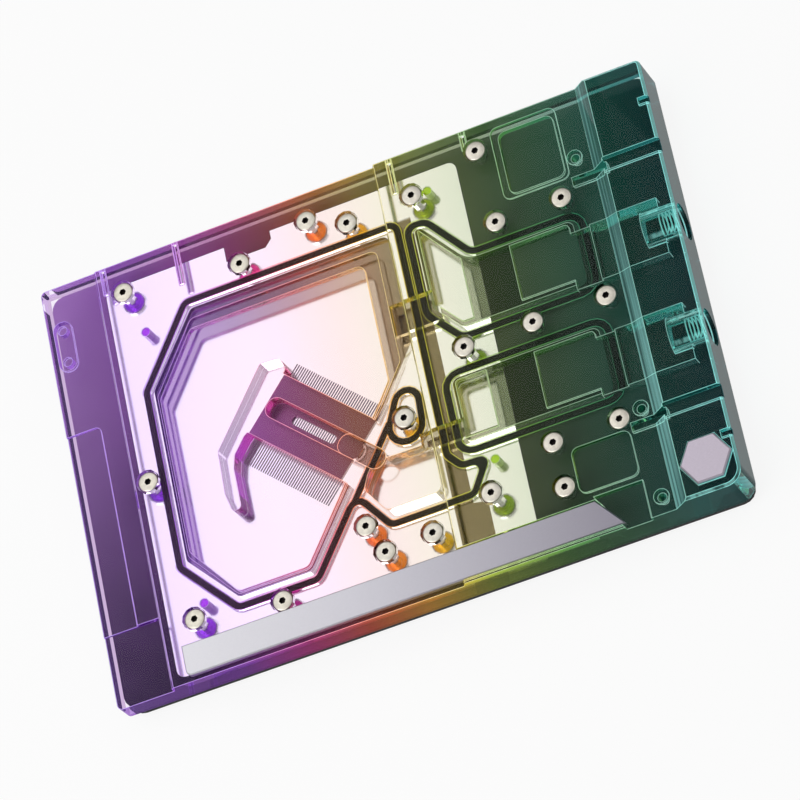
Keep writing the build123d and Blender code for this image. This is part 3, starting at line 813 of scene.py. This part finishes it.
# Camera as in the photograph: long lens, looking down on the lower left of the block and rolled to it
CAMERA_TARGET = Vector((4.1, -4.9, 12.0)) * MM
CAMERA_DISTANCE = 1.688
CAMERA_AZIMUTH = -60.66
CAMERA_ELEVATION = 58.8
CAMERA_ROLL = 45.55
CAMERA_LENS = 225.0
CAMERA_SENSOR = 36.0


def floor_material():
    """Pale floor that takes shadows, and that shows an even light to the camera and in mirrors."""
    s = Shader("pale_floor")
    s.surface(Base_Color=FLOOR, Roughness=0.9)
    light = s.node("ShaderNodeEmission")
    light.inputs["Color"].default_value = WHITE
    light.inputs["Strength"].default_value = 1.0
    path = s.node("ShaderNodeLightPath")
    seen = s.maths("MAXIMUM", path.outputs["Is Camera Ray"], path.outputs["Is Glossy Ray"])
    seen = s.maths("MAXIMUM", seen, path.outputs["Is Transmission Ray"])
    s.show_instead(s.product(seen, FLOOR_LIGHT), light)
    return s.material


def make_floor():
    mesh = bpy.data.meshes.new("floor")
    half = FLOOR_SIZE / 2
    corners = [(-half, -half, 0), (half, -half, 0), (half, half, 0), (-half, half, 0)]
    mesh.from_pydata(corners, [], [(0, 1, 2, 3)])
    piece = bpy.data.objects.new("floor", mesh)
    bpy.context.scene.collection.objects.link(piece)
    mesh.materials.append(floor_material())


def make_world():
    """Sky that is grey at the horizon and white from a fair height up."""
    world = bpy.data.worlds.new("studio")
    bpy.context.scene.world = world
    world.use_nodes = True
    tree = world.node_tree
    background = tree.nodes["Background"]
    coordinates = tree.nodes.new("ShaderNodeTexCoord")
    split = tree.nodes.new("ShaderNodeSeparateXYZ")
    tree.links.new(coordinates.outputs["Generated"], split.inputs[0])
    ramp = tree.nodes.new("ShaderNodeValToRGB")
    points = ramp.color_ramp.elements
    points[0].position, points[0].color = 0.0, HORIZON
    points[1].position, points[1].color = SKY_FULL_HEIGHT, WHITE
    tree.links.new(split.outputs["Z"], ramp.inputs["Fac"])
    tree.links.new(ramp.outputs["Color"], background.inputs["Color"])
    background.inputs["Strength"].default_value = SKY_STRENGTH


def direction(azimuth, elevation):
    """Direction away from the block, out of two angles in degrees."""
    a, e = math.radians(azimuth), math.radians(elevation)
    return Vector((math.cos(a) * math.cos(e), math.sin(a) * math.cos(e), math.sin(e)))


def soft_light(name, azimuth, elevation, distance, size, power, aim=(0.0, 0.0, 0.0)):
    """Square lamp at a direction from a point on the block, turned to that point."""
    data = bpy.data.lights.new(name, "AREA")
    data.energy = power
    data.size = size
    lamp = bpy.data.objects.new(name, data)
    away = direction(azimuth, elevation)
    lamp.location = Vector(aim) + away * distance
    lamp.rotation_euler = (-away).to_track_quat("-Z", "Y").to_euler()
    bpy.context.scene.collection.objects.link(lamp)


def make_camera():
    data = bpy.data.cameras.new("camera")
    data.lens = CAMERA_LENS
    data.sensor_width = CAMERA_SENSOR
    data.clip_start = 0.1
    data.clip_end = 20.0
    camera = bpy.data.objects.new("camera", data)
    away = direction(CAMERA_AZIMUTH, CAMERA_ELEVATION)
    camera.location = CAMERA_TARGET + away * CAMERA_DISTANCE
    turn = (-away).to_track_quat("-Z", "Y").to_matrix().to_4x4()
    camera.rotation_euler = (turn @ Matrix.Rotation(math.radians(-CAMERA_ROLL), 4, "Z")).to_euler()
    bpy.context.scene.collection.objects.link(camera)
    bpy.context.scene.camera = camera


make_floor()
make_world()
soft_light("key", azimuth=215, elevation=48, distance=1.6, size=1.2, power=11.0)
soft_light("fill", azimuth=20, elevation=45, distance=1.8, size=1.2, power=3.0)
soft_light("mirror_box", azimuth=119.3, elevation=58.8, distance=0.9, size=0.56, power=0.75, aim=MIRROR_AIM)
make_camera()

scene = bpy.context.scene
scene.view_settings.view_transform = "Standard"
scene.cycles.max_bounces = 14
scene.cycles.diffuse_bounces = 2
scene.cycles.transmission_bounces = 12
scene.cycles.glossy_bounces = 5
scene.cycles.transparent_max_bounces = 12
scene.cycles.caustics_reflective = False
scene.cycles.caustics_refractive = False
scene.cycles.use_denoising = True
